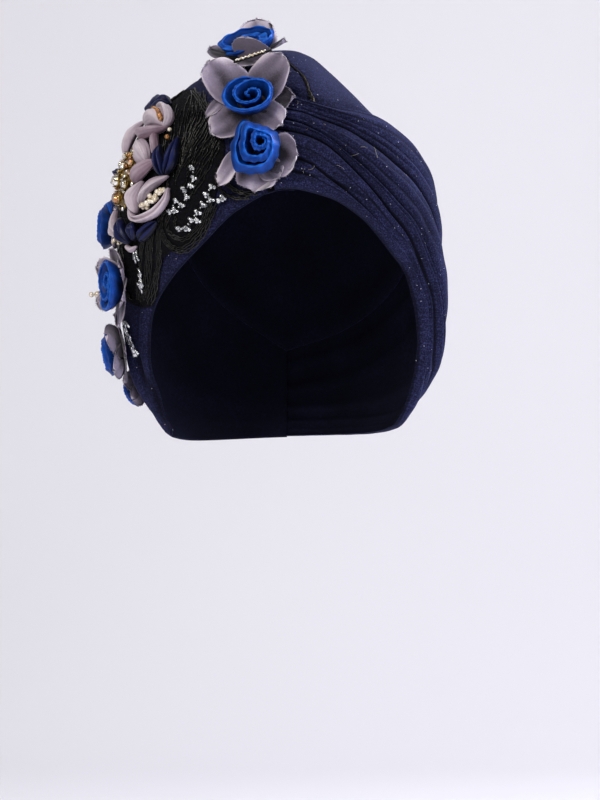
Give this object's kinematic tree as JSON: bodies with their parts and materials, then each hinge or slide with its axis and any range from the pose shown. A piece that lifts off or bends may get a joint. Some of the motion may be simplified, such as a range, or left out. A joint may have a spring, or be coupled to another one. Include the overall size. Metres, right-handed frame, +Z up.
{
  "type": "turban",
  "caption": "Pre-draped pull-on velour turban: smooth crown, gathered front band, corded lace side panel, rolled satin roses and a folded satin flower with stones",
  "frame": {"origin": "where the top of the wearer's head sits, inside the crown", "axes": "+X to the viewer's right of the face opening, +Y from the face opening to the back of the head, +Z up, from nape to crown"},
  "size_m": [0.2153, 0.2214, 0.2519],
  "materials": {
    "navy_velour": "heathered navy stretch velour with a little glitter",
    "black_lace": "corded black lace with silver seed beads",
    "blue_satin": "royal blue satin",
    "grey_lavender_cloth": "grey lavender organza with raw edges",
    "light_satin": "pale lavender satin",
    "navy_satin": "navy satin",
    "clear_crystal": "foil-backed clear cut glass",
    "amber_crystal": "foil-backed amber cut glass",
    "gilt_metal": "bright gilt"
  },
  "bodies": {
    "root": {"crown_drape": "navy_velour", "pleated_wrap": "navy_velour", "left_panel": "navy_velour", "lace_applique": "black_lace", "rose_1_petals": "grey_lavender_cloth", "rose_1_bloom": "blue_satin", "rose_2_petals": "grey_lavender_cloth", "rose_2_bloom": "blue_satin", "rose_3_petals": "grey_lavender_cloth", "rose_3_bloom": "blue_satin", "rose_4_petals": "grey_lavender_cloth", "rose_4_bloom": "blue_satin", "rose_5_petals": "grey_lavender_cloth", "rose_5_bloom": "blue_satin", "rose_6_petals": "grey_lavender_cloth", "rose_6_bloom": "blue_satin", "rose_7_petals": "grey_lavender_cloth", "rose_7_bloom": "blue_satin", "satin_petal_1": "light_satin", "satin_petal_2": "light_satin", "satin_petal_3": "light_satin", "satin_petal_4": "light_satin", "satin_petal_5": "light_satin", "satin_petal_6": "light_satin", "satin_petal_7": "navy_satin", "satin_petal_8": "navy_satin", "satin_petal_9": "light_satin", "satin_petal_10": "navy_satin", "satin_petal_11": "light_satin", "satin_petal_12": "navy_satin", "stone_settings": "gilt_metal", "stone_1": "clear_crystal", "stone_2": "clear_crystal", "stone_3": "amber_crystal", "stone_4": "clear_crystal", "stone_5": "amber_crystal", "stone_6": "clear_crystal", "stone_7": "clear_crystal", "stone_8": "clear_crystal", "stone_9": "amber_crystal", "stone_10": "clear_crystal", "stone_11": "clear_crystal", "bead_stack": "gilt_metal"}
  },
  "joints": []
}
